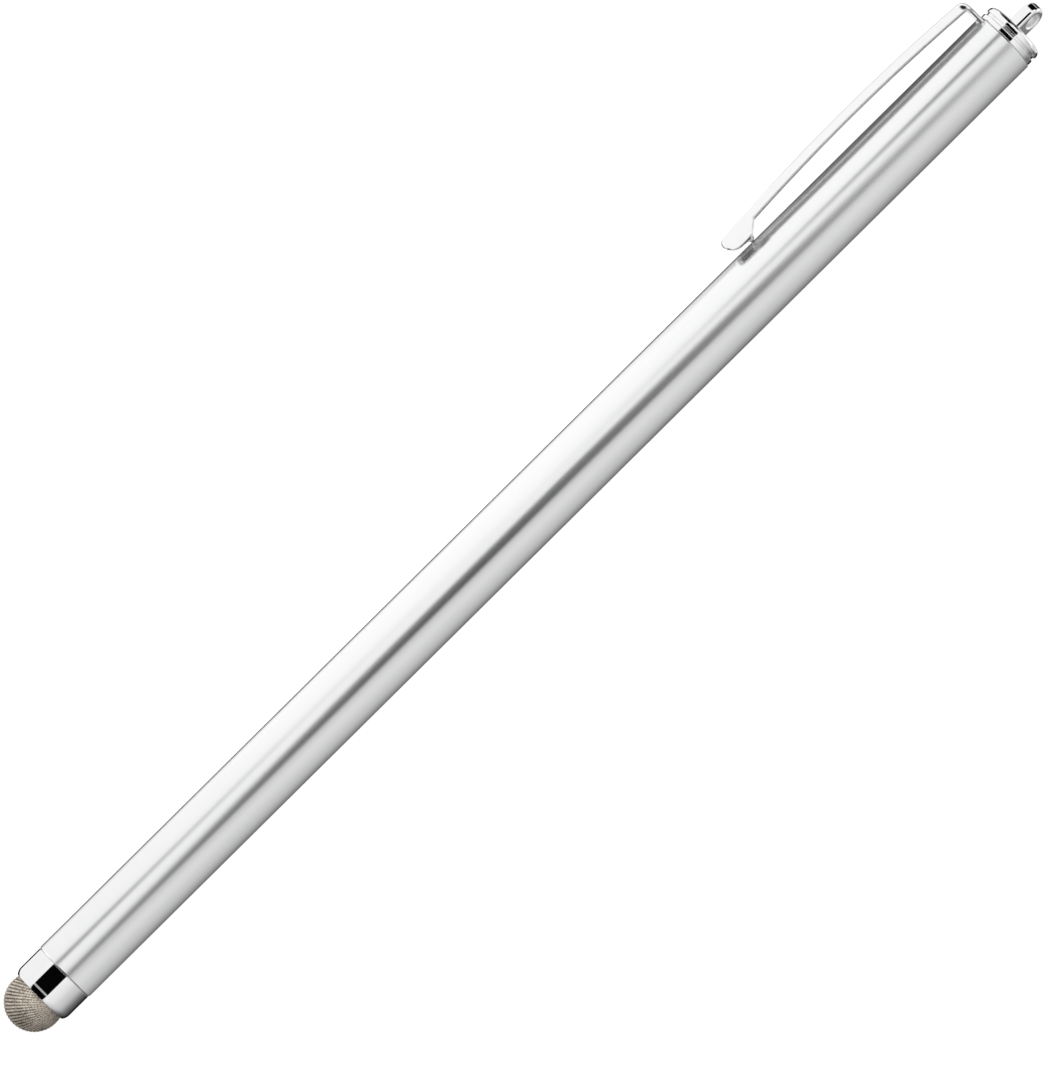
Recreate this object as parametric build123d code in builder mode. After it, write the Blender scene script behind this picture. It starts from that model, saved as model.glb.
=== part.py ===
from build123d import *
from math import acos, asin, atan2, cos, degrees, hypot, radians, sin, sqrt
import os

# Stylus pen lying on a table: a knitted fibre tip on a screw-in ferrule, a long
# metal barrel, a pressed steel pocket clip and a grooved end cap with a lanyard eye.
# Stations are measured along the pen from the very tip towards the cap, in mm.
# Heights are measured from the pen's axis, in the direction of the clip.

# ---- fits ----
press_gap = 0.01          # between pieces pressed together
running_gap = 0.08        # between the smooth stand-ins of a screw and its thread
soft_gap = 0.04           # between the knit, its core and what holds them
seat_gap = 0.02           # between flat faces that bear on each other
clip_play = 0.20          # behind the clip's tab in its plug, so that the clip can spring open
notch_play = 0.06         # between the clip's leg and the notch that it stands in
nib_gap = 0.06            # between the clip's nib and the barrel

# ---- tip ----
dome_radius = 3.93        # the knitted ball
knit_thickness = 0.45
dome_showing = 4.93       # from the very tip to the ferrule's lip
skirt_radius = 3.52       # the knit's neck inside the ferrule
skirt_length = 3.2        # from the ferrule's lip backwards
neck_taper = 0.3          # over which the ball narrows to its neck
hidden_bands = 3          # plain bands that stand in for the ball's hidden inner surfaces
ring_length = 1.4
ring_setback = 0.3        # from the clamp ring to the stud's plug

# ---- ferrule ----
ferrule_length = 4.45
ferrule_radius = 4.40
lip_radius = 4.05
nose_length = 0.97        # the nose rounds off from the ferrule's side to its lip
ferrule_wall = 0.55
rear_chamfer = 0.10

# ---- screw stud and its bush ----
plug_length = 1.2
spigot_length = 1.9
stud_radius = 2.5
stud_length = 8.0
stud_chamfer = 0.5
undercut_radius = 2.2
undercut_length = 1.0
bush_length = 9.5
bush_chamfer = 0.4

# ---- barrel ----
barrel_radius = 4.50
barrel_wall = 0.70
barrel_length = 170.73
barrel_edge = 0.12

# ---- end cap with its lanyard eye ----
cap_radius = 4.40
flange_thickness = 0.66
groove_width = 0.58
groove_depth = 0.26
groove_slope = 0.20       # each sloping side of the groove, measured along the pen
head_thickness = 1.02
head_round = 0.78
flange_edge = 0.08
stem_radius = 1.60
stem_length = 6.0
stem_chamfer = 0.3
end_plug_length = 9.0
eye_width = 3.70
eye_thickness = 1.85
eye_reach = 4.13          # from the cap's face to the eye's far edge
eye_hole_radius = 1.05
eye_hole_height = 2.20    # from the cap's face to the hole's centre
eye_edge = 0.52
eye_hole_edge = 0.25
eye_turn = 144.0          # degrees round the pen from the clip to the eye's face

# ---- clip ----
sheet = 0.60
crown_radius = 2.30       # outer radius of the clip's rounded section
strip_half_angle = 49.0   # degrees of that section on each side of its crown
clip_peak_height = 8.45
clip_peak_setback = 21.3  # from the barrel's end to the highest point
clip_arch_radius = 300.0
clip_length = 44.73
leg_setback = 0.10        # from the barrel's end to the leg's outer face
bend_radius = 1.10
inner_bend_cut = 0.35     # across the bend's inner corner
tab_depth = 1.9           # the tab's reach inside the barrel's outer surface
leaf_nose_round = 0.90
leaf_nose_height = 7.00
leaf_belly = 1.6          # from the leaf's nose to where its curved belly straightens
leaf_belly_height = 5.54
leaf_apex = 3.5           # from the leaf's nose to its lowest point
leaf_apex_height = 5.34
leaf_tail = 5.75          # from the leaf's nose to where it meets the strip
run_out = 1.5             # how far cutting shapes reach past what they cut
nib_radius = 0.50

# ---- stations worked out from the sizes above ----
lip_station = dome_showing
seam_station = lip_station + ferrule_length
plug_station = seam_station - plug_length
spigot_station = plug_station - spigot_length
barrel_start = seam_station + seat_gap
barrel_end = barrel_start + barrel_length
cap_face = barrel_end + flange_thickness + groove_width + head_thickness
pen_length = cap_face + eye_reach
leg_outer = barrel_end - leg_setback
leg_inner = leg_outer - sheet
leaf_nose = leg_outer - clip_length
clip_peak = barrel_end - clip_peak_setback
ferrule_bore = ferrule_radius - ferrule_wall
barrel_bore = barrel_radius - barrel_wall
tab_end = barrel_radius - tab_depth

# ---- how the pen lies: on the barrel and on one edge of the clip ----
strip_half_width = crown_radius * sin(radians(strip_half_angle))
strip_drop = crown_radius * (1 - cos(radians(strip_half_angle)))
edge_height = clip_peak_height - strip_drop
edge_reach = hypot(edge_height, strip_half_width)
roll = asin(barrel_radius / edge_reach) - atan2(strip_half_width, edge_height)
clip_side_reach = (clip_peak_height - crown_radius) * cos(roll) + crown_radius
axis_y = (clip_side_reach - barrel_radius) / 2
tip_point = Vector(pen_length / 2, axis_y, barrel_radius)

towards_cap = Vector(-1, 0, 0)
clip_up = Vector(0, -cos(roll), -sin(roll))
across_clip = Vector(0, -sin(roll), cos(roll))
pen_side = Plane(origin=tip_point, x_dir=towards_cap, z_dir=across_clip)
pen_axis = Axis(tip_point, towards_cap)


def point(station, height):
    """World point at a station along the pen and a height towards the clip."""
    return tip_point + towards_cap * station + clip_up * height


# ---- the clip's shallow arch, a ring about a far axis ----
arch_axis = Axis(point(clip_peak, clip_peak_height - clip_arch_radius), across_clip * -1)


def arch_angle(station):
    return asin((station - clip_peak) / clip_arch_radius)


def crown_height(station):
    return clip_peak_height - clip_arch_radius * (1 - cos(arch_angle(station)))


def arch_section(station):
    """Plane across the clip at a station, its origin on the crown and y outwards."""
    turn = arch_angle(station)
    along = towards_cap * cos(turn) - clip_up * sin(turn)
    return Plane(origin=point(station, crown_height(station)), x_dir=across_clip * -1, z_dir=along)


def arch_turn(start, end):
    return degrees(arch_angle(end) - arch_angle(start))


# ---- knitted ball, its core and the ring that clamps its neck ----
skirt_end = lip_station + skirt_length
neck_station = lip_station + neck_taper
skirt_bore = skirt_radius - knit_thickness


def ball_height(radius):
    """Height of a ball about the dome's centre where the ferrule's lip cuts it."""
    return sqrt(radius**2 - (lip_station - dome_radius) ** 2)


def ball_bands(radius):
    """Corners of a banded ball about the dome's centre, from its pole to the lip."""
    lip_turn = acos((dome_radius - lip_station) / radius)
    turns = [lip_turn * i / hidden_bands for i in range(hidden_bands + 1)]
    return [(dome_radius - radius * cos(turn), radius * sin(turn)) for turn in turns]


with BuildPart() as mesh_dome:
    with BuildSketch(pen_side):
        with BuildLine():
            outer_ball = ThreePointArc(
                (0, 0), (dome_radius, dome_radius), (lip_station, ball_height(dome_radius))
            )
            inner_ball = Polyline(*ball_bands(dome_radius - knit_thickness))
            Polyline(
                outer_ball @ 1,
                (neck_station, skirt_radius),
                (skirt_end, skirt_radius),
                (skirt_end, skirt_bore),
                (neck_station, skirt_bore),
                inner_ball @ 1,
            )
            Line(inner_ball @ 0, outer_ball @ 0)
        make_face()
    revolve(axis=pen_axis)

core_radius = dome_radius - knit_thickness - soft_gap
spigot_radius = skirt_bore - soft_gap
with BuildPart() as dome_core:
    with BuildSketch(pen_side):
        with BuildLine():
            core_ball = Polyline(*ball_bands(core_radius))
            Polyline(
                core_ball @ 1,
                (neck_station, spigot_radius),
                (spigot_station - seat_gap, spigot_radius),
                (spigot_station - seat_gap, 0),
                core_ball @ 0,
            )
        make_face()
    revolve(axis=pen_axis)

ring_end = plug_station - ring_setback
with BuildPart() as clamp_ring:
    with BuildSketch(pen_side):
        with BuildLine():
            Polyline(
                (ring_end - ring_length, skirt_radius + soft_gap),
                (ring_end, skirt_radius + soft_gap),
                (ring_end, ferrule_bore - press_gap),
                (ring_end - ring_length, ferrule_bore - press_gap),
                close=True,
            )
        make_face()
    revolve(axis=pen_axis)

# ---- ferrule: the bright nose that holds the knit ----
with BuildPart() as tip_ferrule:
    with BuildSketch(pen_side):
        with BuildLine():
            nose = TangentArc(
                (lip_station + nose_length, ferrule_radius), (lip_station, lip_radius), tangent=(-1, 0)
            )
            Polyline(
                nose @ 0,
                (seam_station - rear_chamfer, ferrule_radius),
                (seam_station, ferrule_radius - rear_chamfer),
                (seam_station, ferrule_bore),
                (lip_station, ferrule_bore),
                nose @ 1,
            )
        make_face()
    revolve(axis=pen_axis)

# ---- stud: closes the ferrule, holds the core and screws into the barrel's bush ----
stud_end = seam_station + stud_length
undercut_end = seam_station + undercut_length
with BuildPart() as tip_stud:
    with BuildSketch(pen_side):
        with BuildLine():
            Polyline(
                (spigot_station, 0),
                (spigot_station, spigot_radius),
                (plug_station, spigot_radius),
                (plug_station, ferrule_bore - press_gap),
                (seam_station, ferrule_bore - press_gap),
                (seam_station, undercut_radius),
                (undercut_end, undercut_radius),
                (undercut_end + stud_radius - undercut_radius, stud_radius),
                (stud_end - stud_chamfer, stud_radius),
                (stud_end, stud_radius - stud_chamfer),
                (stud_end, 0),
                close=True,
            )
        make_face()
    revolve(axis=pen_axis)

with BuildPart() as front_bush:
    with BuildSketch(pen_side):
        bush_bore = stud_radius + running_gap
        with BuildLine():
            Polyline(
                (barrel_start, bush_bore + bush_chamfer),
                (barrel_start + bush_chamfer, bush_bore),
                (barrel_start + bush_length, bush_bore),
                (barrel_start + bush_length, barrel_bore - press_gap),
                (barrel_start, barrel_bore - press_gap),
                close=True,
            )
        make_face()
    revolve(axis=pen_axis)

# ---- barrel: one drawn tube with an open notch for the clip at the cap's end ----
notch_half_width = strip_half_width + notch_play
notch_start = leg_inner - notch_play
with BuildPart() as barrel_tube:
    with BuildSketch(pen_side):
        with BuildLine():
            Polyline(
                (barrel_start, barrel_bore),
                (barrel_start, barrel_radius - barrel_edge),
                (barrel_start + barrel_edge, barrel_radius),
                (barrel_end - barrel_edge, barrel_radius),
                (barrel_end, barrel_radius - barrel_edge),
                (barrel_end, barrel_bore),
                close=True,
            )
        make_face()
    revolve(axis=pen_axis)
    with BuildSketch(pen_side):
        with BuildLine():
            Polyline(
                (notch_start, barrel_bore - barrel_wall),
                (notch_start, barrel_radius + barrel_wall),
                (barrel_end + barrel_wall, barrel_radius + barrel_wall),
                (barrel_end + barrel_wall, barrel_bore - barrel_wall),
                close=True,
            )
        make_face()
    extrude(amount=notch_half_width, both=True, mode=Mode.SUBTRACT)

# ---- end plug: pressed into the barrel, slotted for the clip's tab, bored for the cap ----
plug_rear = barrel_end - seat_gap
slot_start = leg_inner - clip_play
slot_floor = tab_end - clip_play
with BuildPart() as end_plug:
    with BuildSketch(pen_side):
        with BuildLine():
            Polyline(
                (barrel_end - end_plug_length, stem_radius + press_gap),
                (barrel_end - end_plug_length, barrel_bore - press_gap),
                (plug_rear, barrel_bore - press_gap),
                (plug_rear, stem_radius + press_gap),
                close=True,
            )
        make_face()
    revolve(axis=pen_axis)
    with BuildSketch(pen_side):
        with BuildLine():
            Polyline(
                (slot_start, slot_floor),
                (slot_start, barrel_radius),
                (barrel_end + clip_play, barrel_radius),
                (barrel_end + clip_play, slot_floor),
                close=True,
            )
        make_face()
    extrude(amount=notch_half_width, both=True, mode=Mode.SUBTRACT)

# ---- lanyard eye: a flat tab with a round end and a softened hole ----
eye_facing = clip_up * cos(radians(eye_turn)) + across_clip * sin(radians(eye_turn))
eye_plane = Plane(origin=tip_point, x_dir=towards_cap, z_dir=eye_facing)
eye_root = cap_face - head_round
eye_end_centre = pen_length - eye_width / 2
with BuildPart() as lanyard_eye:
    with BuildSketch(eye_plane):
        with Locations(((eye_root + eye_end_centre) / 2, 0)):
            Rectangle(eye_end_centre - eye_root, eye_width)
        with Locations((eye_end_centre, 0)):
            Circle(eye_width / 2)
    extrude(amount=eye_thickness / 2, both=True)
    broad_faces = lanyard_eye.faces().sort_by(Axis(tip_point, eye_facing))
    rim = broad_faces[0].edges() + broad_faces[-1].edges()
    root_edges = lanyard_eye.faces().sort_by(pen_axis)[0].edges()
    fillet(rim - root_edges, eye_edge)
    with BuildSketch(eye_plane):
        with Locations((cap_face + eye_hole_height, 0)):
            Circle(eye_hole_radius)
    extrude(amount=eye_thickness, both=True, mode=Mode.SUBTRACT)
    hole_rims = lanyard_eye.edges().filter_by(GeomType.CIRCLE).filter_by(
        lambda edge: abs(edge.radius - eye_hole_radius) < eye_hole_edge / 10
    )
    chamfer(hole_rims, eye_hole_edge)

# ---- end cap: stem, flange, groove and rounded head, in one piece with the eye ----
flange_front = barrel_end + seat_gap
flange_rear = barrel_end + flange_thickness
groove_rear = flange_rear + groove_width
with BuildPart() as end_cap:
    with BuildSketch(pen_side):
        with BuildLine():
            Polyline(
                (barrel_end - stem_length, 0),
                (barrel_end - stem_length, stem_radius - stem_chamfer),
                (barrel_end - stem_length + stem_chamfer, stem_radius),
                (flange_front, stem_radius),
                (flange_front, cap_radius - flange_edge),
                (flange_front + flange_edge, cap_radius),
                (flange_rear, cap_radius),
            )
            Polyline(
                (flange_rear, cap_radius),
                (flange_rear + groove_slope, cap_radius - groove_depth),
                (groove_rear - groove_slope, cap_radius - groove_depth),
                (groove_rear, cap_radius),
                (cap_face - head_round, cap_radius),
            )
            head = CenterArc((cap_face - head_round, cap_radius - head_round), head_round, 0, 90)
            Polyline(head @ 0, (cap_face, 0), (barrel_end - stem_length, 0))
        make_face()
    revolve(axis=pen_axis)
    add(lanyard_eye.part)

# ---- clip: the hollow under its crown, open below, up to the leg ----
inner_crown = crown_radius - sheet
edge_out = (strip_half_width, -strip_drop)
edge_in = (inner_crown * sin(radians(strip_half_angle)),
           inner_crown * cos(radians(strip_half_angle)) - crown_radius)
leg_drop = clip_peak_height - tab_end + sheet
strip_start = leaf_nose + leaf_apex
clear_width = strip_half_width * 2

with BuildPart() as strip_hollow:
    with BuildSketch(arch_section(strip_start - run_out)):
        with BuildLine():
            ThreePointArc((-edge_in[0], edge_in[1]), (0, -sheet), edge_in)
            Polyline(
                edge_in, edge_out, (clear_width, -strip_drop), (clear_width, -leg_drop),
                (-clear_width, -leg_drop), (-clear_width, -strip_drop),
                (-edge_out[0], edge_out[1]), (-edge_in[0], edge_in[1]),
            )
        make_face()
    revolve(axis=arch_axis, revolution_arc=arch_turn(strip_start - run_out, leg_inner + run_out))
    split(bisect_by=Plane(origin=point(leg_inner, 0), z_dir=towards_cap), keep=Keep.BOTTOM)
    inner_bend = strip_hollow.faces().sort_by(pen_axis)[-1].edges().filter_by(
        GeomType.LINE, reverse=True
    )
    chamfer(inner_bend, inner_bend_cut)

# ---- clip: the hollow of the leaf, closed at its nose ----
with BuildPart() as leaf_hollow:
    with BuildSketch(arch_section(leaf_nose + sheet)):
        with Locations((0, -crown_radius)):
            Circle(inner_crown)
    revolve(axis=arch_axis, revolution_arc=arch_turn(leaf_nose + sheet, leaf_nose + leaf_tail))

# ---- clip: the leaf, a rounded scoop whose sides dip towards the barrel ----
leaf_end = leaf_nose + leaf_tail
with BuildPart() as clip_leaf:
    with BuildSketch(arch_section(leaf_nose)):
        with Locations((0, -crown_radius)):
            Circle(crown_radius)
    revolve(axis=arch_axis, revolution_arc=arch_turn(leaf_nose, leaf_end))
    fillet(clip_leaf.faces().sort_by(pen_axis)[0].edges(), leaf_nose_round)
    add(leaf_hollow.part, mode=Mode.SUBTRACT)
    leaf_root_height = crown_height(leaf_end) - strip_drop
    with BuildSketch(pen_side):
        with BuildLine():
            keel = Line(
                (leaf_nose + leaf_apex, leaf_apex_height), (leaf_nose + leaf_belly, leaf_belly_height)
            )
            belly = TangentArc(keel @ 1, (leaf_nose, leaf_nose_height), tangent=keel % 1)
            Polyline(
                keel @ 0,
                (leaf_end, leaf_root_height),
                (leaf_end + run_out, leaf_root_height),
                (leaf_end + run_out, 0),
                (leaf_nose - run_out, 0),
                (leaf_nose - run_out, leaf_nose_height),
                belly @ 1,
            )
        make_face()
    extrude(amount=crown_radius * 2, both=True, mode=Mode.SUBTRACT)

# ---- clip: crowned strip, bent over at the cap's end into a leg and its tab ----
with BuildPart() as clip:
    with BuildSketch(arch_section(strip_start)):
        with BuildLine():
            ThreePointArc((-crown_radius, -crown_radius), (0, 0), (crown_radius, -crown_radius))
            Polyline(
                (crown_radius, -crown_radius), (crown_radius, -leg_drop),
                (-crown_radius, -leg_drop), (-crown_radius, -crown_radius),
            )
        make_face()
    revolve(axis=arch_axis, revolution_arc=arch_turn(strip_start, leg_outer + run_out))
    split(bisect_by=Plane(origin=point(leg_outer, 0), z_dir=towards_cap), keep=Keep.BOTTOM)
    end_face = clip.faces().sort_by(pen_axis)[-1]
    fillet(end_face.edges().sort_by(Axis(tip_point, clip_up))[1:], bend_radius)
    with BuildSketch(pen_side):
        with BuildLine():
            Polyline(
                (strip_start - run_out, tab_end), (strip_start - run_out, clip_peak_height + run_out),
                (leg_outer + run_out, clip_peak_height + run_out), (leg_outer + run_out, tab_end),
                close=True,
            )
        make_face()
    extrude(amount=strip_half_width, both=True, mode=Mode.INTERSECT)
    add(strip_hollow.part, mode=Mode.SUBTRACT)
    add(clip_leaf.part)
    nib_station = leaf_nose + leaf_apex
    nib_foot = barrel_radius + nib_gap
    with BuildSketch(pen_side):
        with BuildLine():
            nib_root = crown_height(nib_station) - sheet / 2
            nib_end = CenterArc((nib_station, nib_foot + nib_radius), nib_radius, -90, 90)
            Polyline(
                nib_end @ 1, (nib_station + nib_radius, nib_root), (nib_station, nib_root), nib_end @ 0,
            )
        make_face()
    revolve(axis=Axis(point(nib_station, 0), clip_up))

# ---- every piece by name ----
pieces = {
    "mesh_dome": mesh_dome,
    "dome_core": dome_core,
    "clamp_ring": clamp_ring,
    "tip_ferrule": tip_ferrule,
    "tip_stud": tip_stud,
    "front_bush": front_bush,
    "barrel_tube": barrel_tube,
    "end_plug": end_plug,
    "end_cap": end_cap,
    "clip": clip,
}
os.makedirs("parts", exist_ok=True)
for name, piece in pieces.items():
    piece.part.label = name
    export_step(piece.part, f"parts/{name}.step")
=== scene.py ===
import math

import bpy
import numpy as np
from mathutils import Matrix, Vector


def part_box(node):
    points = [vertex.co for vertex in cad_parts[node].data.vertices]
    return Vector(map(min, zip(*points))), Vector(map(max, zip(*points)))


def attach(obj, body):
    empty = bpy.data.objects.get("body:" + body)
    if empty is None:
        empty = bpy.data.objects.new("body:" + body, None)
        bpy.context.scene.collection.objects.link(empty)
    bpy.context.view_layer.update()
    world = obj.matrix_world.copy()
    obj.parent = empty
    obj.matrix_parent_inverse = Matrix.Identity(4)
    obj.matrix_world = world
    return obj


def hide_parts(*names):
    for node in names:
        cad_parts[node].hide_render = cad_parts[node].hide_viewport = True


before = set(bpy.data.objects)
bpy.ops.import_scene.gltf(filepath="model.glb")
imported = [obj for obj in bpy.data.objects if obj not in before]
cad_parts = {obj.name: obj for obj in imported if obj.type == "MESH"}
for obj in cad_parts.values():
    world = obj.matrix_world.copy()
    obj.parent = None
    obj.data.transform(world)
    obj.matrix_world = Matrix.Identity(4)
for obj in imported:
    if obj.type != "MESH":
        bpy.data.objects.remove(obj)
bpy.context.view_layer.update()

# Stylus pen on a white sweep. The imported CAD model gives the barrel, ferrule, cap,
# clip and inner metal parts. This script dresses them, knits the fibre tip, cuts the
# threads of the stud and its bush, and sets the studio light and the camera.
# Blender works in metres; the pen's own sizes are in mm, and MM turns mm into metres.
# Stations are measured along the pen from the very tip towards the cap.

MM = 0.001
FULL_TURN = 2 * math.pi

# ---- where the pen lies ----
barrel_low, barrel_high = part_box("barrel_tube")
dome_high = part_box("mesh_dome")[1]
cap_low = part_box("end_cap")[0]
ferrule_low, ferrule_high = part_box("tip_ferrule")
AXIS_Y = (barrel_low.y + barrel_high.y) / 2
AXIS_Z = (barrel_low.z + barrel_high.z) / 2
TIP = Vector((dome_high.x, AXIS_Y, AXIS_Z))
PEN_CENTRE = Vector(((dome_high.x + cap_low.x) / 2, AXIS_Y, AXIS_Z))

# ---- the photograph's view: down on the pen, the pen running up to the right ----
ELEVATION = math.radians(55.81)
IMAGE_TURN = math.radians(44.73)
TO_CAP = Vector((-1, 0, 0))
TO_CAMERA = Vector((0, -math.cos(ELEVATION), math.sin(ELEVATION)))
TO_UPPER_EDGE = Vector((0, -math.sin(ELEVATION), -math.cos(ELEVATION)))

# ---- camera ----
CAMERA_DISTANCE = 1.30
CAMERA_SWING = math.radians(1.8)    # towards the tip
SENSOR_WIDTH = 36                   # mm
LENS = 338                          # mm
CLIP_START = 0.01
PIXEL = MM / 7.75                   # the size of the photograph's pixel at the pen
PIXELS_LEFT = 4.9                   # from the pen's centre to the photograph's centre
PIXELS_DOWN = 22.5

# ---- the tip's sizes in mm, as in the CAD source ----
BALL_RADIUS = (dome_high.z - AXIS_Z) / MM
LIP_STATION = (TIP.x - ferrule_high.x) / MM
SEAM_STATION = (TIP.x - ferrule_low.x) / MM
KNIT_THICKNESS = 0.45
SKIRT_RADIUS = 3.52
SKIRT_LENGTH = 3.2
NECK_TAPER = 0.3
SOFT_GAP = 0.04
CORE_NECK_RADIUS = 3.03
CORE_REAR = 3.12                    # from the core's flat back to the barrel

# ---- the knit, in mm; the fade's ends are in ball radii from the cloth's middle ----
RIB_PITCH = 0.50
STITCH_PITCH = 0.40
STITCH_SLANT = 1.4
FADE_START, FADE_END = 0.7, 2.1
LEAN = 0.07                         # how far the ball's nose leans to the upper edge
KNIT_ROWS, KNIT_SEGMENTS = 130, 420
TUCK_ROWS = 4                       # over which the relief dies out at the ferrule
NOSE_ROW = 0.02                     # the first row is a tiny ring, closed by one face

# ---- the stud and its bush, in mm, as in the CAD source ----
THREAD_PITCH = 0.5
THREAD_DEPTH = 0.26
ROWS_PER_PITCH = 8
THREAD_EDGE = 0.01                  # the step on which a thread starts and ends
STUD_RADIUS = 2.5
STUD_LENGTH = 8.0
STUD_CHAMFER = 0.5
THREAD_START = 1.3                  # from the ferrule's seam
UNDERCUT_RADIUS = 2.2
UNDERCUT_LENGTH = 1.0
PLUG_RADIUS = 3.84
PLUG_SETBACK = 1.2                  # from the plug's front to the seam
SPIGOT_RADIUS = 3.03
SPIGOT_SETBACK = 3.1                # from the spigot's front to the seam
SEAT_GAP = 0.02
BUSH_BORE = 2.58
BUSH_RADIUS = 3.79
BUSH_LENGTH = 9.5
BUSH_CHAMFER = 0.4
BUSH_RUNOUT = 0.1                   # plain bore behind the bush's thread

# ---- the lanyard eye ----
EYE_CENTRE = Vector((cap_low.x + 1.93 * MM, AXIS_Y, AXIS_Z))
HOLE_REACH = 1.45 * MM
HOLE_ROUGHNESS = 0.42               # added to the chrome's own


def on_pen(station, radius=0.0, turn=0.0):
    """Point at a station and a radius in mm, turned from the camera to the upper edge."""
    outward = TO_CAMERA * math.cos(turn) + TO_UPPER_EDGE * math.sin(turn)
    return TIP + TO_CAP * (station * MM) + outward * (radius * MM)


def add_camera():
    """A long lens, square to the pen but for a degree or two towards its tip."""
    backward = TO_CAMERA * math.cos(CAMERA_SWING) - TO_CAP * math.sin(CAMERA_SWING)
    along = TO_CAP * math.cos(CAMERA_SWING) + TO_CAMERA * math.sin(CAMERA_SWING)
    right = along * math.cos(IMAGE_TURN) - TO_UPPER_EDGE * math.sin(IMAGE_TURN)
    up = along * math.sin(IMAGE_TURN) + TO_UPPER_EDGE * math.cos(IMAGE_TURN)
    data = bpy.data.cameras.new("camera")
    data.sensor_width = SENSOR_WIDTH
    data.lens = LENS
    data.clip_start = CLIP_START
    camera = bpy.data.objects.new("camera", data)
    bpy.context.scene.collection.objects.link(camera)
    aim = PEN_CENTRE - right * (PIXELS_LEFT * PIXEL) - up * (PIXELS_DOWN * PIXEL)
    turned = Matrix((right, up, backward)).transposed().to_4x4()
    camera.matrix_world = Matrix.Translation(aim + backward * CAMERA_DISTANCE) @ turned
    bpy.context.scene.camera = camera


# ---- node helpers ----
class Nodes:
    """A material's node tree, built one node at a time."""

    def __init__(self, name):
        self.material = bpy.data.materials.new(name)
        self.material.use_nodes = True
        self.tree = self.material.node_tree
        self.shader = self.tree.nodes["Principled BSDF"]

    def add(self, kind, inputs=None, **settings):
        """A node with its settings, and with numbers or other nodes' outputs as inputs."""
        node = self.tree.nodes.new(kind)
        for key, value in settings.items():
            setattr(node, key, value)
        for key, value in (inputs or {}).items():
            self.set(node.inputs[key], value)
        return node

    def set(self, socket, value):
        """Links an output to a socket, or sets a plain value on it."""
        if isinstance(value, bpy.types.NodeSocket):
            self.tree.links.new(value, socket)
        else:
            socket.default_value = value

    def shade(self, **inputs):
        """Sets the shader's inputs, named with underscores for spaces."""
        for key, value in inputs.items():
            self.set(self.shader.inputs[key.replace("_", " ")], value)

    def place(self, scale=(1, 1, 1)):
        """Object coordinates in metres, scaled."""
        coordinates = self.add("ShaderNodeTexCoord")
        mapping = self.add("ShaderNodeMapping", {"Vector": coordinates.outputs["Object"]})
        mapping.inputs["Scale"].default_value = scale
        return mapping.outputs["Vector"]

    def noise(self, vector, scale, detail=2.0, rough=0.5):
        """Noise round a half."""
        node = self.add("ShaderNodeTexNoise", {"Vector": vector, "Scale": scale})
        node.inputs["Detail"].default_value = detail
        node.inputs["Roughness"].default_value = rough
        return node.outputs["Fac"]

    def spread(self, value, low, high, from_low=0.25, from_high=0.75):
        """Maps a value's range to another, by default from where noise mostly lies."""
        node = self.add("ShaderNodeMapRange", {"Value": value})
        node.inputs["From Min"].default_value = from_low
        node.inputs["From Max"].default_value = from_high
        node.inputs["To Min"].default_value = low
        node.inputs["To Max"].default_value = high
        return node.outputs["Result"]

    def blend(self, factor, first, second):
        """A colour between two."""
        node = self.add("ShaderNodeMix", data_type="RGBA")
        self.set(node.inputs["Factor"], factor)
        colour = [s for s in node.inputs if s.type == "RGBA"]
        colour[0].default_value = (*first, 1)
        colour[1].default_value = (*second, 1)
        return [s for s in node.outputs if s.type == "RGBA"][0]

    def bump(self, height, strength, distance, normal=None):
        """Normals bent by a height, over another set of normals where one is given."""
        node = self.add("ShaderNodeBump", {"Height": height})
        node.inputs["Strength"].default_value = strength
        node.inputs["Distance"].default_value = distance
        if normal is not None:
            self.set(node.inputs["Normal"], normal)
        return node.outputs["Normal"]

    def soft_edge(self, radius):
        """Normals rounded over a radius in metres."""
        node = self.add("ShaderNodeBevel", {"Radius": radius}, samples=6)
        return node.outputs["Normal"]

    def math(self, operation, first, second=0.0):
        """One step of arithmetic."""
        node = self.add("ShaderNodeMath", operation=operation)
        self.set(node.inputs[0], first)
        self.set(node.inputs[1], second)
        return node.outputs["Value"]

    def centred(self, value, strength):
        """A noise taken from round a half to round zero, and scaled."""
        return self.math("MULTIPLY", self.math("SUBTRACT", value, 0.5), strength)


# ---- materials ----
def chrome(name, edge=0.0, hole=None):
    """Polished chrome: faint hairlines along the pen, slow smears, edges softened in mm.
    The wall of the eye's drilled hole, given by its centre, is matt."""
    m = Nodes(name)
    hairlines = m.noise(m.place((120, 9000, 9000)), scale=1.0, detail=2.0)
    smears = m.noise(m.place(), scale=700, detail=3.0)
    roughness = m.spread(smears, low=0.035, high=0.075)
    if hole:
        away = m.add("ShaderNodeVectorMath", {0: m.place()}, operation="DISTANCE")
        away.inputs[1].default_value = hole
        inside = m.math("LESS_THAN", away.outputs["Value"], HOLE_REACH)
        matt = m.math("MULTIPLY", inside, HOLE_ROUGHNESS)
        roughness = m.math("ADD", roughness, matt)
    softened = m.soft_edge(edge * MM) if edge else None
    m.shade(
        Base_Color=m.blend(smears, (0.91, 0.91, 0.91), (0.88, 0.88, 0.885)),
        Metallic=1.0,
        Roughness=roughness,
        Normal=m.bump(hairlines, strength=0.06, distance=0.000004, normal=softened),
    )
    return m.material


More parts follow.
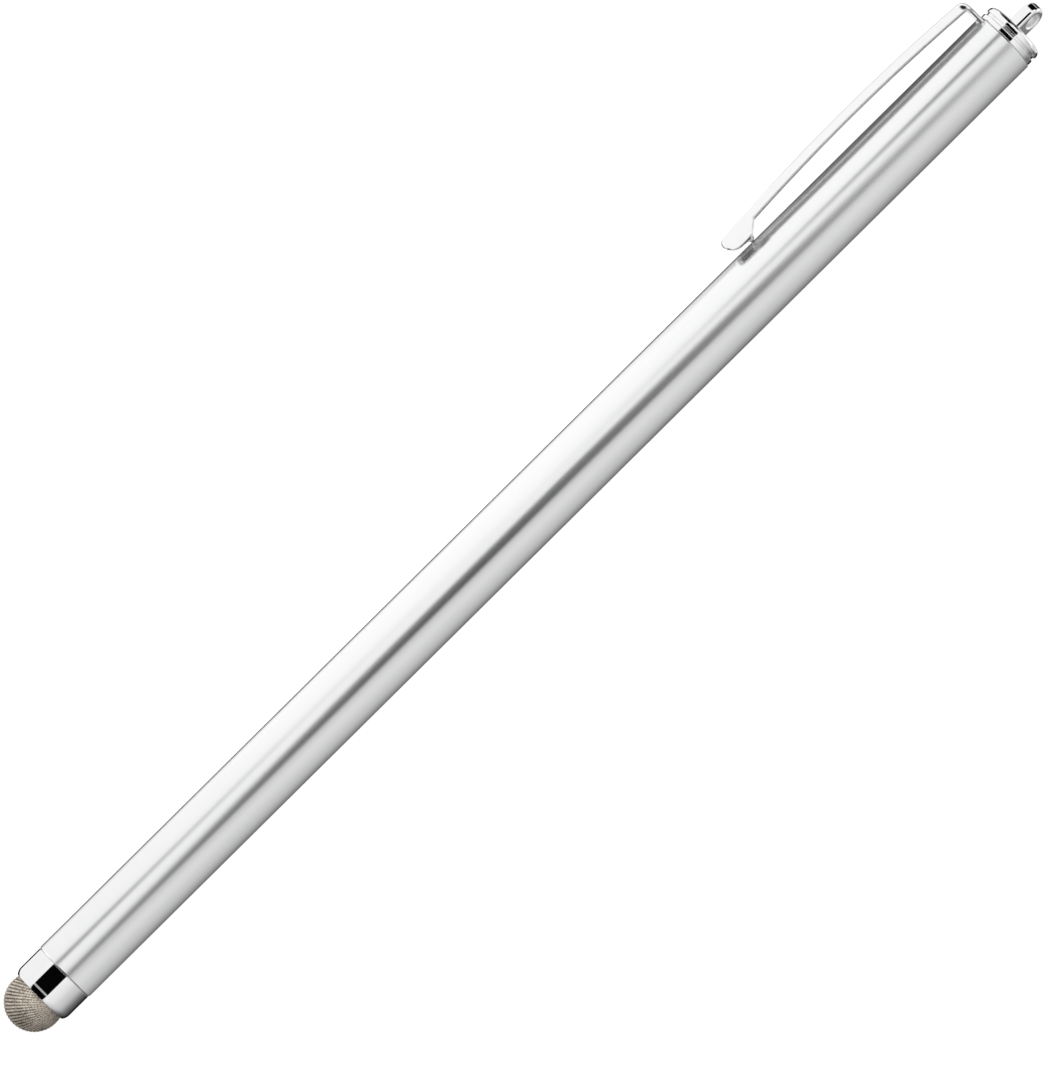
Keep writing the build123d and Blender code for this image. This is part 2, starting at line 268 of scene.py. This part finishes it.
def satin_aluminium(name):
    """Drawn and blasted tube: fine grain, faint lengthwise drawing lines."""
    m = Nodes(name)
    grain = m.noise(m.place(), scale=9000, detail=2.0, rough=0.6)
    lines = m.noise(m.place((60, 5000, 5000)), scale=1.0, detail=2.0)
    clouds = m.noise(m.place((60, 200, 200)), scale=1.0, detail=2.0)
    grainy = m.bump(grain, strength=0.18, distance=0.000006)
    m.shade(
        Base_Color=m.blend(clouds, (0.90, 0.90, 0.905), (0.87, 0.873, 0.88)),
        Metallic=1.0,
        Roughness=m.spread(lines, low=0.205, high=0.235),
        Normal=m.bump(lines, strength=0.05, distance=0.00001, normal=grainy),
    )
    return m.material


def turned_metal(name, light, dark, rough_low, rough_high):
    """Lathe-turned metal: fine rings round the pen's axis."""
    m = Nodes(name)
    rings = m.noise(m.place((14000, 40, 40)), scale=1.0, detail=2.0)
    stains = m.noise(m.place(), scale=600, detail=3.0)
    m.shade(
        Base_Color=m.blend(stains, light, dark),
        Metallic=1.0,
        Roughness=m.spread(rings, rough_low, rough_high),
        Normal=m.bump(rings, strength=0.25, distance=0.00001),
    )
    return m.material


def rubber(name):
    """Matt black rubber with fine pores."""
    m = Nodes(name)
    pores = m.noise(m.place(), scale=6000, detail=3.0)
    m.shade(
        Base_Color=m.blend(pores, (0.035, 0.034, 0.033), (0.06, 0.058, 0.055)),
        Roughness=m.spread(pores, low=0.62, high=0.82),
        Normal=m.bump(pores, strength=0.3, distance=0.00002),
    )
    return m.material


def knit_height(m):
    """The knit's own pattern of height: ribs that give way to slanted stitches off the middle.
    It drives the bump, and the colour's painted shade and highlight.
    The cloth map holds the knit's own coordinates in ribs and stitches."""
    cloth = m.add("ShaderNodeUVMap", uv_map="cloth")
    split = m.add("ShaderNodeSeparateXYZ", {"Vector": cloth.outputs["UV"]})
    across, along = split.outputs["X"], split.outputs["Y"]
    rib = m.math("ABSOLUTE", m.math("SINE", m.math("MULTIPLY", across, math.pi)))
    slant = m.math("ABSOLUTE", m.math("SUBTRACT", m.math("FRACT", across), 0.5))
    leaning = m.math("ADD", along, m.math("MULTIPLY", slant, STITCH_SLANT))
    stitch = m.math("ABSOLUTE", m.math("SINE", m.math("MULTIPLY", leaning, math.pi)))
    scaled = m.add("ShaderNodeVectorMath", {0: cloth.outputs["UV"]}, operation="MULTIPLY")
    scaled.inputs[1].default_value = (RIB_PITCH, STITCH_PITCH, 0)
    reach = m.add("ShaderNodeVectorMath", {0: scaled.outputs["Vector"]}, operation="LENGTH")
    start, end = FADE_START * BALL_RADIUS, FADE_END * BALL_RADIUS
    fade = m.math("MULTIPLY", m.spread(reach.outputs["Value"], 0, 1, start, end), 0.5)
    rib_share = m.math("MULTIPLY", rib, m.math("SUBTRACT", 0.8, fade))
    stitch_share = m.math("MULTIPLY", stitch, m.math("ADD", 0.2, fade))
    return m.math("ADD", rib_share, stitch_share)


def knitted(name):
    """Silver-grey fibre knit: slanted stitches and loose fibres. Each rib's colour follows its
    height, with a painted highlight on the crests and painted shade in the grooves.
    """
    m = Nodes(name)
    fibres = m.noise(m.place(), scale=4200, detail=3.0, rough=0.65)
    patches = m.noise(m.place(), scale=420, detail=2.0)
    speckled = m.math("ADD", knit_height(m), m.centred(fibres, 1.7))
    shaded = m.math("ADD", speckled, m.centred(patches, 0.9))
    # Colour from the relief's height: the near-black low end is painted shade in the grooves
    # and the light high end is a painted highlight on the crests; the fibres and patches are
    # random tone.
    ramp = m.add("ShaderNodeValToRGB", {"Fac": shaded})
    stops = ramp.color_ramp.elements
    stops[0].position = 0.12
    stops[0].color = (0.05, 0.042, 0.034, 1)
    stops[1].position = 0.98
    stops[1].color = (0.84, 0.745, 0.63, 1)
    middle = stops.new(0.55)
    middle.color = (0.33, 0.285, 0.23, 1)
    m.shade(
        Base_Color=ramp.outputs["Color"],
        Roughness=m.spread(fibres, low=0.5, high=0.75),
        Normal=m.bump(speckled, strength=0.6, distance=0.00004),
    )
    return m.material


def floor_paint(name):
    """White seamless sweep: mostly self-lit, with a barely visible mottle."""
    m = Nodes(name)
    mottle = m.noise(m.place(), scale=3.0, detail=2.0)
    m.shade(
        Base_Color=m.blend(mottle, (0.80, 0.80, 0.80), (0.78, 0.78, 0.78)),
        Roughness=0.9,
        Specular_IOR_Level=0.0,
        Emission_Color=(1, 1, 1, 1),
        Emission_Strength=0.86,
    )
    return m.material


# ---- mesh helpers ----
def new_piece(name, vertices, faces, material, sharp=math.radians(35)):
    """A smooth-shaded mesh with sharp edges above an angle."""
    mesh = bpy.data.meshes.new(name)
    mesh.from_pydata([tuple(v) for v in vertices], [], faces)
    mesh.materials.append(material)
    mesh.shade_smooth()
    mesh.set_sharp_from_angle(angle=sharp)
    mesh.update()
    piece = bpy.data.objects.new(name, mesh)
    bpy.context.scene.collection.objects.link(piece)
    return piece


def lathe(name, rows, material, segments=64, radius_at=None):
    """Turns rows of (station, radius) round the pen's axis, in mm.
    A row of zero radius closes the form; radius_at(station, radius, turn) may cut a thread."""
    vertices, rings = [], []
    for station, radius in rows:
        if radius == 0:
            rings.append([len(vertices)] * segments)
            vertices.append(on_pen(station))
            continue
        rings.append(list(range(len(vertices), len(vertices) + segments)))
        for k in range(segments):
            turn = FULL_TURN * k / segments
            cut = radius_at(station, radius, turn) if radius_at else radius
            vertices.append(on_pen(station, cut, turn))
    faces = []
    for ring, following in zip(rings, rings[1:]):
        for k in range(segments):
            n = (k + 1) % segments
            corners = [ring[k], ring[n], following[n], following[k]]
            face = [c for i, c in enumerate(corners) if c != corners[i - 1]]
            faces.append(face)
    return new_piece(name, vertices, faces, material)


# ---- the knitted cover and its core ----
def cloth_coordinates(outward):
    """Where a direction from the ball's centre lies on the cloth, in mm.
    The cloth is laid on the ball so that its ribs run level in the photograph."""
    laid = (-TO_CAP + TO_UPPER_EDGE).normalized()
    across_ribs = (TO_CAP + TO_UPPER_EDGE).normalized()
    away = math.acos(max(-1.0, min(1.0, outward.dot(laid))))
    stretch = BALL_RADIUS * (away / math.sin(away) if away > 1e-4 else 1.0)
    return outward.dot(across_ribs) * stretch, outward.dot(TO_CAMERA) * stretch


def knit_relief(across, along):
    """Depth below the knit's crests at a place on the cloth, in mm.
    The ribs flatten and the cross stitches rise away from the cloth's middle."""
    away = math.hypot(across, along) / BALL_RADIUS
    fade = min(1.0, max(0.0, (away - FADE_START) / (FADE_END - FADE_START)))
    rib = abs(math.sin(math.pi * across / RIB_PITCH))
    slant = abs(across / RIB_PITCH % 1 - 0.5) * STITCH_SLANT
    stitch = abs(math.sin(math.pi * (along / STITCH_PITCH + slant)))
    rib_depth = 0.13 - 0.09 * fade
    stitch_depth = 0.02 + 0.035 * fade
    return rib_depth * (1 - rib ** 0.8) + stitch_depth * (1 - stitch)


def knitted_ball():
    """Points of the ball's cloth from its nose to the ferrule's lip, and their map."""
    last = math.acos((BALL_RADIUS - LIP_STATION) / BALL_RADIUS)
    centre = on_pen(BALL_RADIUS)
    vertices, cloth = [], []
    for i in range(KNIT_ROWS + 1):
        tilt = last * max(i, NOSE_ROW) / KNIT_ROWS
        for k in range(KNIT_SEGMENTS):
            turn = FULL_TURN * k / KNIT_SEGMENTS
            side = TO_CAMERA * math.cos(turn) + TO_UPPER_EDGE * math.sin(turn)
            outward = -TO_CAP * math.cos(tilt) + side * math.sin(tilt)
            across, along = cloth_coordinates(outward)
            tucked = min(1.0, (KNIT_ROWS - i) / TUCK_ROWS)
            depth = knit_relief(across, along) * tucked
            lean = TO_UPPER_EDGE * (LEAN * (1 - i / KNIT_ROWS) ** 0.5 * MM)
            vertices.append(centre + lean + outward * ((BALL_RADIUS - depth) * MM))
            cloth.append((across / RIB_PITCH, along / STITCH_PITCH))
    return vertices, cloth


def knitted_cover(material):
    """Knit stretched over the ball, its neck tucked into the ferrule."""
    segments = KNIT_SEGMENTS
    vertices, cloth = knitted_ball()
    neck, rear = LIP_STATION + NECK_TAPER, LIP_STATION + SKIRT_LENGTH
    inside = SKIRT_RADIUS - KNIT_THICKNESS
    skirt = [(neck, SKIRT_RADIUS), (rear, SKIRT_RADIUS), (rear, inside), (neck, inside)]
    for station, radius in skirt:
        for k in range(segments):
            turn = FULL_TURN * k / segments
            vertices.append(on_pen(station, radius, turn))
            cloth.append((radius * turn / RIB_PITCH, station / STITCH_PITCH))
    faces = [tuple(reversed(range(segments)))]
    for i in range(KNIT_ROWS + len(skirt)):
        for k in range(segments):
            n = (k + 1) % segments
            a, b = i * segments, (i + 1) * segments
            faces.append((a + k, a + n, b + n, b + k))
    piece = new_piece("knitted_cover", vertices, faces, material, math.radians(180))
    layer = piece.data.uv_layers.new(name="cloth")
    corners = np.array([cloth[loop.vertex_index] for loop in piece.data.loops], np.float32)
    layer.data.foreach_set("uv", corners.ravel())
    return piece


def rubber_core(material):
    """The soft ball and neck inside the knit."""
    radius = BALL_RADIUS - KNIT_THICKNESS - SOFT_GAP
    last = math.acos((BALL_RADIUS - LIP_STATION) / radius)
    steps = 28
    rows = [(BALL_RADIUS - radius, 0)]
    for i in range(1, steps + 1):
        tilt = last * i / steps
        rows.append((BALL_RADIUS - radius * math.cos(tilt), radius * math.sin(tilt)))
    rear = SEAM_STATION - CORE_REAR
    rows += [(LIP_STATION + NECK_TAPER, CORE_NECK_RADIUS), (rear, CORE_NECK_RADIUS), (rear, 0)]
    return lathe("rubber_core", rows, material, segments=72)


# ---- threads ----
def thread_phase(station, turn):
    """0 on a crest, 1 in a root, of a right-hand thread round the pen."""
    return 1 - abs((station / THREAD_PITCH + turn / FULL_TURN) % 1 * 2 - 1)


def screw_rows(start, end, radius):
    """Rows close enough together to carry a thread."""
    count = int((end - start) / THREAD_PITCH * ROWS_PER_PITCH)
    return [(start + (end - start) * i / count, radius) for i in range(count + 1)]


def threaded_stud(material):
    """The ferrule's stud: plug and spigot inside, screw outside."""
    seam = SEAM_STATION
    spigot, plug, undercut = seam - SPIGOT_SETBACK, seam - PLUG_SETBACK, seam + UNDERCUT_LENGTH
    first, end = seam + THREAD_START, seam + STUD_LENGTH
    last = end - STUD_CHAMFER

    def cut(station, radius, turn):
        if not first <= station <= last or radius < STUD_RADIUS:
            return radius
        return radius - THREAD_DEPTH * thread_phase(station, turn)

    rows = [(spigot, 0), (spigot, SPIGOT_RADIUS), (plug, SPIGOT_RADIUS), (plug, PLUG_RADIUS),
            (seam, PLUG_RADIUS), (seam, UNDERCUT_RADIUS), (undercut, UNDERCUT_RADIUS),
            (first - THREAD_EDGE, STUD_RADIUS)]
    rows += screw_rows(first, last, STUD_RADIUS)
    rows += [(last + THREAD_EDGE, STUD_RADIUS), (end, STUD_RADIUS - STUD_CHAMFER), (end, 0)]
    return lathe("threaded_stud", rows, material, segments=48, radius_at=cut)


def threaded_bush(material):
    """The bush pressed into the barrel's mouth. Its thread has the stud's pitch, and
    clears the stud's crests, so that the stud can slide straight out."""
    start = SEAM_STATION + SEAT_GAP
    first, end = start + BUSH_CHAMFER, start + BUSH_LENGTH
    mouth = BUSH_BORE + BUSH_CHAMFER

    def cut(station, radius, turn):
        if radius > BUSH_BORE or not first < station < end - BUSH_RUNOUT:
            return radius
        return radius + THREAD_DEPTH * thread_phase(station, turn)

    rows = [(start, mouth)] + screw_rows(first, end, BUSH_BORE)
    rows += [(end, BUSH_RADIUS), (start, BUSH_RADIUS), (start, mouth)]
    return lathe("threaded_bush", rows, material, segments=48, radius_at=cut)


# ---- dressing the CAD nodes ----
def dress(node, material):
    """Gives all the slots of a CAD node a material."""
    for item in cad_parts[node].material_slots:
        item.material = material


def build_pen():
    """Dresses the CAD nodes and builds the pieces that replace some of them."""
    brass = turned_metal("turned_brass", (0.86, 0.69, 0.38), (0.74, 0.56, 0.28), 0.18, 0.32)
    steel = turned_metal("ring_steel", (0.66, 0.66, 0.67), (0.56, 0.56, 0.58), 0.22, 0.36)
    knit = knitted("silver_knit")
    black = rubber("core_rubber")
    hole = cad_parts["end_cap"].matrix_world.inverted() @ EYE_CENTRE
    dress("barrel_tube", satin_aluminium("satin_aluminium"))
    dress("tip_ferrule", chrome("chrome_ferrule"))
    dress("end_cap", chrome("chrome_cap", edge=0.12, hole=hole))
    dress("clip", chrome("chrome_clip", edge=0.45))
    dress("clamp_ring", steel)
    for node in ("end_plug", "tip_stud", "front_bush"):
        dress(node, brass)
    dress("mesh_dome", knit)
    dress("dome_core", black)

    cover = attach(knitted_cover(knit), "tip_body")
    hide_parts("mesh_dome")
    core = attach(rubber_core(black), "tip_body")
    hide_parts("dome_core")
    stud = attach(threaded_stud(brass), "tip_body")
    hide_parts("tip_stud")
    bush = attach(threaded_bush(brass), "barrel_body")
    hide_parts("front_bush")
    return cover, core, stud, bush


# ---- floor ----
def add_floor():
    """A round white sweep that rises at its rim. It shows to the camera alone."""
    segments, bend_steps = 96, 12
    flat, bend_radius, wall_top = 1.8, 1.0, 3.0
    profile = [(0.0, 0.0), (0.4, 0.0), (1.2, 0.0), (flat, 0.0)]
    for i in range(1, bend_steps + 1):
        bend = math.pi / 2 * i / bend_steps
        rise = bend_radius - bend_radius * math.cos(bend)
        profile.append((flat + bend_radius * math.sin(bend), rise))
    profile.append((flat + bend_radius, wall_top))
    vertices = [(0, 0, 0)]
    for radius, height in profile[1:]:
        for k in range(segments):
            turn = FULL_TURN * k / segments
            vertices.append((radius * math.cos(turn), radius * math.sin(turn), height))
    faces = [(0, 1 + k, 1 + (k + 1) % segments) for k in range(segments)]
    for i in range(len(profile) - 2):
        a, b = 1 + i * segments, 1 + (i + 1) * segments
        for k in range(segments):
            n = (k + 1) % segments
            faces.append((a + k, b + k, b + n, a + n))
    floor = new_piece("floor", vertices, faces, floor_paint("white_sweep"))
    floor.visible_glossy = False
    floor.visible_diffuse = False
    floor.visible_shadow = False
    return floor


# ---- light ----
# Each group of pieces has its own softboxes, as the photograph's bands of light were set
# piece by piece. A profile is a list of (angle, level): the brightness at angles in
# degrees round the pen, 0 at the camera and 90 at the upper edge. A tent is a list of
# (place, profile), with places in metres along X, from the pen's middle to its tip.
LIGHT_DISTANCE = 0.45
TENT_REACH = (-0.7, 0.7)            # along X, from the pen's middle
TENT_WIDTH = 45                     # degrees round the pen that one softbox covers
TENT_MARGIN = 15                    # degrees beside a softbox that decide if it is lit
END_PLACE = 0.6                     # along X, from the pen's middle
END_SIZE = 1.2
UPPER_QUARTER = 178                 # where an end light's quarter ends round the pen
LOWER_QUARTER = -88
WORLD_STRENGTH = 0.0015


def group(name, *members):
    """The pieces that a set of softboxes lights."""
    found = bpy.data.collections.new(name)
    for member in members:
        found.objects.link(member)
    return found


def emission_pattern(data, middle, half, reach, tent):
    """Paints a softbox with its part of a tent, from the box's own coordinates."""
    data.use_nodes = True
    tree = data.node_tree
    add, link = tree.nodes.new, tree.links.new
    where = add("ShaderNodeSeparateXYZ")
    link(add("ShaderNodeNewGeometry").outputs["Parametric"], where.inputs[0])

    def step(operation, first, second, third=None):
        node = add("ShaderNodeMath")
        node.operation = operation
        for socket, value in zip(node.inputs, (first, second, third)):
            if isinstance(value, bpy.types.NodeSocket):
                link(value, socket)
            elif value is not None:
                socket.default_value = value
        return node.outputs[0]

    rise = step("MULTIPLY_ADD", where.outputs["Y"], -2 * math.tan(half), math.tan(half))
    angle = step("ADD", step("ARCTANGENT", rise, None), middle + math.pi)
    share = step("DIVIDE", angle, FULL_TURN)
    along = step("MULTIPLY_ADD", where.outputs["X"], reach[1] - reach[0], reach[0])
    result, before = None, None
    for place, profile in tent:
        ramp = add("ShaderNodeValToRGB")
        link(share, ramp.inputs[0])
        elements = ramp.color_ramp.elements
        while len(elements) < len(profile):
            elements.new(0.5)
        for element, (degrees, level) in zip(elements, profile):
            element.position = (degrees + 180) / 360
            element.color = (level, level, level, 1)
        if result is None:
            result, before = ramp.outputs[0], place
            continue
        gap = place - before
        weight = add("ShaderNodeClamp")
        link(step("MULTIPLY_ADD", along, 1 / gap, -before / gap), weight.inputs[0])
        mixed = add("ShaderNodeMix")
        mixed.data_type = "RGBA"
        link(weight.outputs[0], mixed.inputs[0])
        link(result, mixed.inputs[6])
        link(ramp.outputs[0], mixed.inputs[7])
        result, before = mixed.outputs[2], place
    link(result, tree.nodes["Emission"].inputs["Color"])


def place_light(name, data, receivers, axes, place):
    """Stands a light at a place with its axes, hidden from the camera."""
    lamp = bpy.data.objects.new(name, data)
    bpy.context.scene.collection.objects.link(lamp)
    lamp.matrix_world = Matrix.Translation(place) @ Matrix(axes).transposed().to_4x4()
    lamp.visible_camera = False
    lamp.light_linking.receiver_collection = receivers


def softbox(receivers, angles, tent, reach=TENT_REACH):
    """A flat soft light beside the pen, between two angles in degrees round the pen."""
    middle = math.radians(sum(angles) / 2)
    half = math.radians(abs(angles[1] - angles[0]) / 2)
    outward = TO_CAMERA * math.cos(middle) + TO_UPPER_EDGE * math.sin(middle)
    data = bpy.data.lights.new("softbox", "AREA")
    data.shape = "RECTANGLE"
    data.size = reach[1] - reach[0]
    data.size_y = 2 * LIGHT_DISTANCE * math.tan(half)
    data.energy = math.pi * data.size * data.size_y
    emission_pattern(data, middle, half, reach, tent)
    along = Vector((1, 0, 0))
    place = Vector((sum(reach) / 2, AXIS_Y, AXIS_Z)) + outward * LIGHT_DISTANCE
    place_light("softbox", data, receivers, (along, outward.cross(along), outward), place)


def light_tent(receivers, tent, width=TENT_WIDTH, reach=TENT_REACH):
    """Softboxes side by side all round the pen, those left out that stay dark."""
    for start in range(-180, 180, width):
        end = start + width
        lit = [level for _, profile in tent for degrees, level in profile
               if start - TENT_MARGIN < degrees < end + TENT_MARGIN]
        if max(lit, default=1) > 0:
            softbox(receivers, (start, end), tent, reach)


def end_light(receivers, place, turn, level):
    """A square soft light that faces one end of the pen. One corner stands on the pen's
    axis, and it spans the quarter that ends at a turn in degrees round the pen."""
    last, first = math.radians(turn), math.radians(turn - 90)
    along = TO_CAMERA * math.cos(last) + TO_UPPER_EDGE * math.sin(last)
    beside = TO_CAMERA * math.cos(first) + TO_UPPER_EDGE * math.sin(first)
    backward = Vector((math.copysign(1, place), 0, 0))
    data = bpy.data.lights.new("end_light", "AREA")
    data.size = END_SIZE
    data.energy = math.pi * END_SIZE ** 2 * level
    centre = Vector((place, AXIS_Y, AXIS_Z)) + (along + beside) * (END_SIZE / 2)
    place_light("end_light", data, receivers, (along, backward.cross(along), backward), centre)


def light_barrel(barrel):
    """A grey lower side, one dark band that wanders, and a white upper side."""
    low_side = [(-180, 0.05), (-165, 0.12), (-142, 0.24), (-120, 0.42), (-105, 0.55),
                (-85, 0.66), (-60, 0.78), (-50, 0.79), (-43, 0.77), (-36, 0.71), (-29, 0.66)]
    high_side = [(48, 1.06), (60, 1.08), (110, 1.12), (140, 1.12), (145, 0.05), (180, 0.05)]
    tip_side = [(48, 0.96), (110, 0.99), (140, 0.99), (145, 0.05), (180, 0.05)]
    cap_side = [(48, 1.05), (60, 1.05), (112, 1.08), (118, 0.1), (180, 0.1)]

    def bands(start, end, level, line=(), upper=high_side):
        """The dark band's ends and level, and those of a line on the white side."""
        stops = low_side + [(start - 1, 0.6), (start, level), (end, level), (end + 2.5, 0.97)]
        if line:
            low, high, line_level = line
            stops += [(low - 2, 0.98), (low, line_level), (high, line_level), (high + 2, 1.0)]
        return stops + upper

    light_tent(barrel, [
        (-0.115, bands(-32, -13, 0.55, (22, 32, 0.05), cap_side)),
        (-0.077, bands(-28, -4, 0.24, (24, 32, 0.75), cap_side)),
        (-0.072, bands(-27, -3, 0.20, (24, 32, 0.8))),
        (-0.056, bands(-26, 0, 0.12)),
        (-0.036, bands(-24, 5, 0.04)),
        (0.0, bands(-23, 6.5, 0.0)),
        (0.042, bands(-22, 1, 0.06)),
        (0.076, bands(-22, -6, 0.2, (33, 43, 0.5), tip_side)),
        (0.103, bands(-21, -10, 0.33, (32.5, 43.5, 0.0), tip_side)),
    ])
    end_light(barrel, END_PLACE, UPPER_QUARTER, level=0.9)
    end_light(barrel, -END_PLACE, UPPER_QUARTER, level=0.5)


# The shaded lower side that the ferrule and the cap share, from the limb upwards.
CHROME_UNDER = [(-126, 0.11), (-112, 0.2), (-101, 0.33), (-91, 0.475), (-82, 0.58),
                (-73, 0.635), (-65, 0.68), (-57, 0.75), (-45, 0.86)]


def light_ferrule(ferrule):
    """A hard black band between white sides, with a grey line across it at the nose."""
    limb = [(-180, 0.0), (-155, 0.0), (-143, 0.045)]
    white_side = [(90, 0.98), (145, 0.98), (147, 0.0), (180, 0.0)]

    def gap(start, end, level=0.0):
        """The band's ends and level."""
        band = [(start, 0.97), (start + 1, level), (end, level), (end + 1, 0.98)]
        return limb + CHROME_UNDER + band + white_side

    grey_line = gap(-17, 45, 0.42)
    light_tent(ferrule, [
        (0.145, gap(-17, 45)), (0.15, grey_line), (0.27, grey_line), (0.275, gap(-17, 48)),
        (0.37, gap(-18, 51)), (0.49, gap(-19, 55)), (0.64, gap(-21, 62)),
        (0.83, gap(-24, 73)), (1.02, gap(-28, 88)), (1.95, gap(-45, 89)),
    ], reach=(-0.7, 2.2))
    end_light(ferrule, -END_PLACE, UPPER_QUARTER, level=0.9)


def light_cap(cap):
    """Black bars on the flange and the head, a lighter groove, a dark edge and eye tip."""
    limb = [(-164, 0.0), (-145, 0.03)]
    under = [(-139, 0.06), (-137, 0.22), (-127, 0.22), (-124, 0.13)] + CHROME_UNDER[1:]
    under += [(-28, 0.95), (-15, 0.98)]
    over = [(40, 1.0), (90, 1.05), (140, 1.05), (143, 0.0)]
    behind_low = [(-180, 0.9), (-168, 0.9)]
    behind_high = [(158, 0.0), (162, 0.9), (180, 0.9)]
    groove_low = [(-180, 0.0), (-160, 0.0), (-157, 0.5), (-147, 0.5), (-144, 0.03)]
    groove_high = [(143, 0.0), (146, 0.9), (150, 0.9), (152, 0.45), (157, 0.45), (160, 0.0),
                   (180, 0.0)]
    bright_low = [(-180, 0.0), (-165, 0.0), (-160, 0.5), (-120, 0.7), (-45, 0.9), (-16, 0.95)]
    dark_gap = [(-15.5, 0.0), (39, 0.0)]
    light_gap = [(-14, 0.98), (39, 0.98)]
    dark_high = [(40, 0.0)] + groove_high
    far = bright_low + dark_gap + dark_high
    edge = bright_low + light_gap + dark_high
    light = groove_low + under + light_gap + over + groove_high
    dark = groove_low + under + dark_gap + over + groove_high
    near = behind_low + limb + under + dark_gap + over + behind_high
    light_tent(cap, [
        (-1.52, far), (-1.48, edge), (-0.57, edge), (-0.53, light), (-0.365, light),
        (-0.355, dark), (-0.26, dark), (-0.24, near), (0.04, near), (0.05, light),
        (0.30, light), (0.31, dark),
    ], reach=(-2.3, 1.7))
    end_light(cap, -END_PLACE, LOWER_QUARTER, level=0.55)
    end_light(cap, END_PLACE, UPPER_QUARTER, level=0.6)


def light_clip(clip):
    """A white strip with one dark lower edge, a light leg and a dark blob on the bend."""
    limb = [(-180, 0.4), (-150, 0.4), (-142, 0.1)]
    limb_end = [(154, 0.45), (180, 0.45)]
    dark_edge = [(-52, 0.04), (-10, 0.04), (-2, 1.02), (60, 1.04), (148, 1.04)]
    side = [(-70, 0.1), (-66, 0.8), (-58, 0.85)] + dark_edge
    bright_low = limb + [(-128, 0.1), (-118, 0.95)]
    top = limb + side + limb_end
    behind = [(-180, 0.9), (-174, 0.9), (-168, 0.05)] + side + [(154, 0.9), (180, 0.9)]
    nose = bright_low + [(-66, 0.95), (-58, 0.5)] + dark_edge + limb_end
    leg = bright_low + [(-10, 0.95), (-2, 1.02), (148, 1.04)] + limb_end
    bend = bright_low + [(-18, 0.95), (-12, 0.02), (12, 0.02), (18, 1.0), (28, 1.0), (34, 0.02),
                         (112, 0.02), (118, 1.04), (148, 1.04)] + limb_end
    light_tent(clip, [
        (-0.68, leg), (-0.64, bend), (-0.2, bend), (-0.18, leg), (-0.127, leg), (-0.121, top),
        (-0.085, top), (-0.075, behind), (0.0, behind), (0.03, nose),
    ], reach=(-1.2, 0.9))


def light_rest(rest):
    """Soft light from the upper side for the knit and for what shows once unscrewed."""
    soft = [(-180, 0.05), (-90, 0.15), (-50, 0.35), (-10, 0.9), (30, 1.2), (70, 1.0),
            (110, 0.6), (150, 0.2), (180, 0.05)]
    light_tent(rest, [(0.0, soft)], width=60)


def light_floor(floor):
    """An even, weak light that adds to the sweep's own."""
    softbox(floor, (-70, 50), [(0.0, [(-180, 0.35), (180, 0.35)])])


def add_lights(cover, core, stud, bush, floor):
    """Lights each group of pieces, and leaves a trace of light everywhere else."""
    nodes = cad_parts
    inner = (nodes["end_plug"], nodes["clamp_ring"])
    light_barrel(group("lit_barrel", nodes["barrel_tube"]))
    light_ferrule(group("lit_ferrule", nodes["tip_ferrule"]))
    light_cap(group("lit_cap", nodes["end_cap"]))
    light_clip(group("lit_clip", nodes["clip"]))
    light_rest(group("lit_rest", cover, core, stud, bush, *inner))
    light_floor(group("lit_floor", floor))
    world = bpy.data.worlds.new("studio")
    world.use_nodes = True
    background = world.node_tree.nodes["Background"]
    background.inputs["Color"].default_value = (1, 1, 1, 1)
    background.inputs["Strength"].default_value = WORLD_STRENGTH
    bpy.context.scene.world = world


add_camera()
pieces = build_pen()
add_lights(*pieces, add_floor())
bpy.context.scene.view_settings.view_transform = "Standard"
